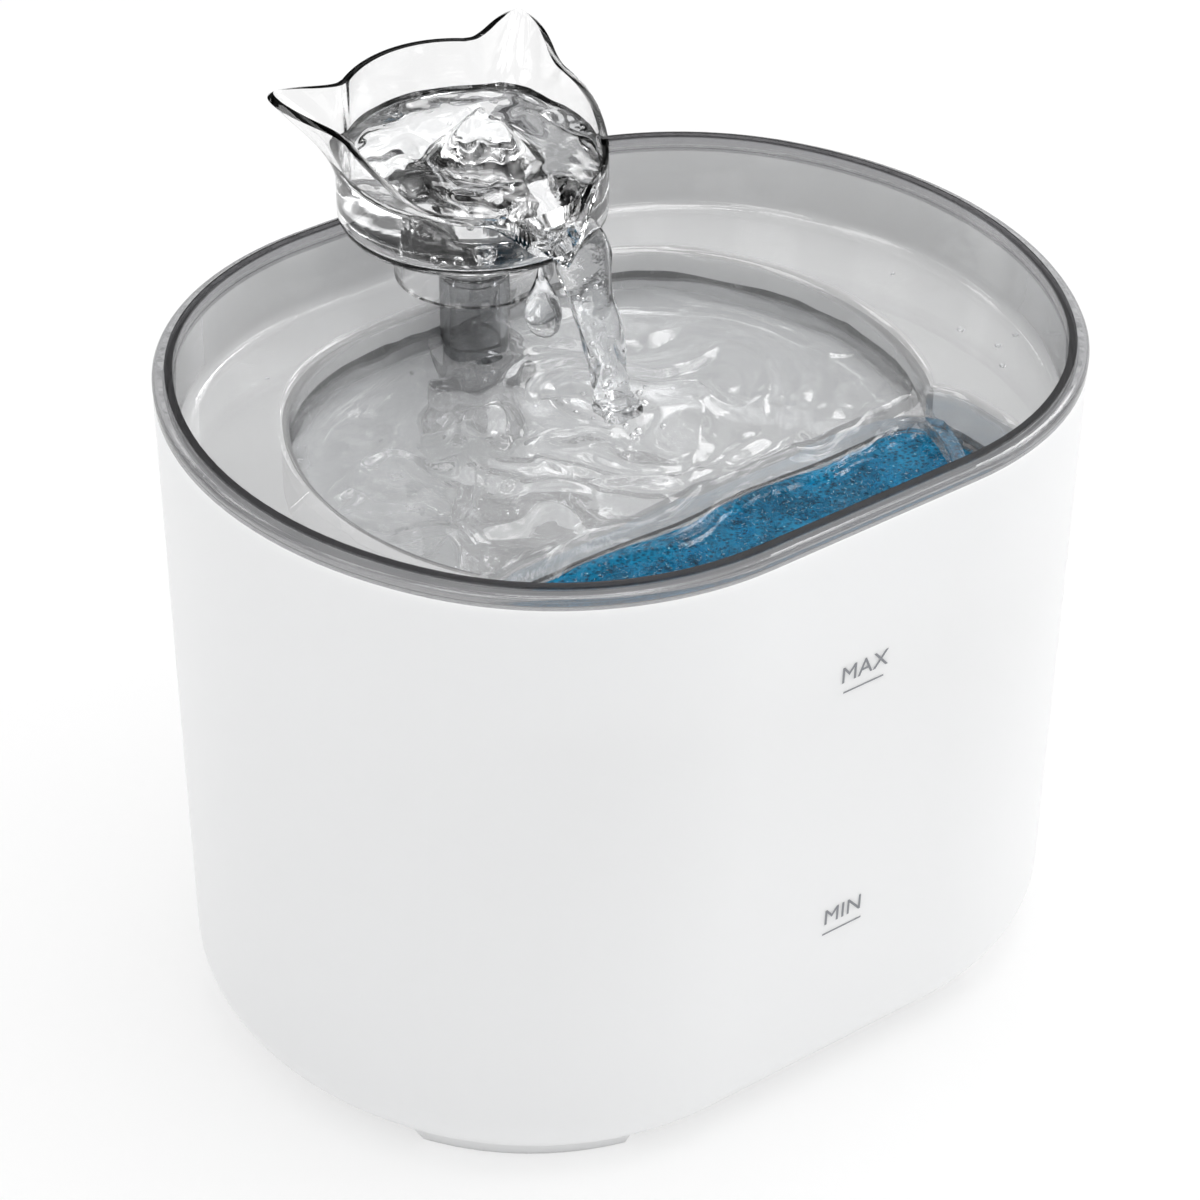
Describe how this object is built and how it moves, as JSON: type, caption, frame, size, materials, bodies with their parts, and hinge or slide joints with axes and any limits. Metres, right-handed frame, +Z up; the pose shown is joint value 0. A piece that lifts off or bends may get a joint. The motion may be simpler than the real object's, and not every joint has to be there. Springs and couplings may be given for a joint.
{
  "type": "pet water fountain",
  "caption": "Pet drinking fountain: white oval tank, smoke-clear drinking tray with filter pocket, riser, swivelling cat-ear spout cup and submersible pump.",
  "frame": {"origin": "on the floor under the middle of the tank", "axes": "+Z up, +Y towards the back where the spout cup stands, +X to the right along the flat front"},
  "size_m": [0.2, 0.1654, 0.1896],
  "materials": {
    "white_shell": "glossy, opaque white",
    "grey_rubber": "matt, soft",
    "clear_silicone": "smooth, translucent",
    "smoke_clear": "polished, lightly smoke-tinted and see-through",
    "smoke_tube": "polished, darker smoke tint",
    "black_rubber": "smooth",
    "blue_sponge": "open-pored foam, wet",
    "carbon_felt": "granules held in white felt",
    "black_sponge": "coarse open-pored foam",
    "black_plastic": "fine matt",
    "grey_plastic": "fine matt",
    "white_plastic": "smooth",
    "ferrite": "smooth, dark grey",
    "shaft_steel": "ground",
    "lamination": "edges of stacked sheet",
    "copper_coil": "varnished winding"
  },
  "bodies": {
    "tank": {"tank": "white_shell", "foot_pads": "grey_rubber", "cord_grommet": "grey_rubber", "pump_hose": "clear_silicone", "pump_housing": "black_plastic", "pump_end_plate": "black_plastic", "stator_core": "lamination", "stator_coil": "copper_coil", "volute_cover": "black_plastic", "volute_seal": "black_rubber", "rotor_shaft": "shaft_steel", "front_bush": "white_plastic", "rear_bush": "black_rubber", "suction_cups": "clear_silicone", "cable_gland": "black_rubber"},
    "tray": {"tray": "smoke_clear", "riser_tube": "smoke_tube", "neck_seal": "black_rubber"},
    "filter": {"filter_frame": "smoke_clear", "filter_sponge": "blue_sponge", "carbon_pad": "carbon_felt"},
    "collar": {"cup_collar": "smoke_clear"},
    "cup": {"spout_cup": "smoke_clear"},
    "rotor": {"impeller": "white_plastic", "rotor_magnet": "ferrite"},
    "intake": {"intake_cover": "black_plastic", "intake_sponge": "black_sponge"},
    "gate": {"flow_gate": "grey_plastic"}
  },
  "joints": [
    {"name": "tray_lift", "type": "slide", "parent": "tank", "child": "tray", "axis": [0, 0, 1], "range_m": [0, 0.08]},
    {"name": "filter_lift", "type": "slide", "parent": "tray", "child": "filter", "axis": [0, 0, 1], "range_m": [0, 0.045]},
    {"name": "collar_lift", "type": "slide", "parent": "tray", "child": "collar", "axis": [0, 0, 1], "range_m": [0, 0.02]},
    {"name": "cup_swivel", "type": "hinge", "parent": "collar", "child": "cup", "pos_m": [0, 0.0532, 0.161], "axis": [0, 0, 1], "range_deg": [-60, 60]},
    {"name": "rotor_spin", "type": "hinge", "parent": "tank", "child": "rotor", "pos_m": [0, 0.047, 0.035], "axis": [1, 0, 0], "continuous": true},
    {"name": "intake_pull", "type": "slide", "parent": "tank", "child": "intake", "axis": [-1, 0, 0], "range_m": [0, 0.03]},
    {"name": "flow_adjust", "type": "slide", "parent": "intake", "child": "gate", "axis": [0, 0, -1], "range_m": [0, 0.01]}
  ]
}
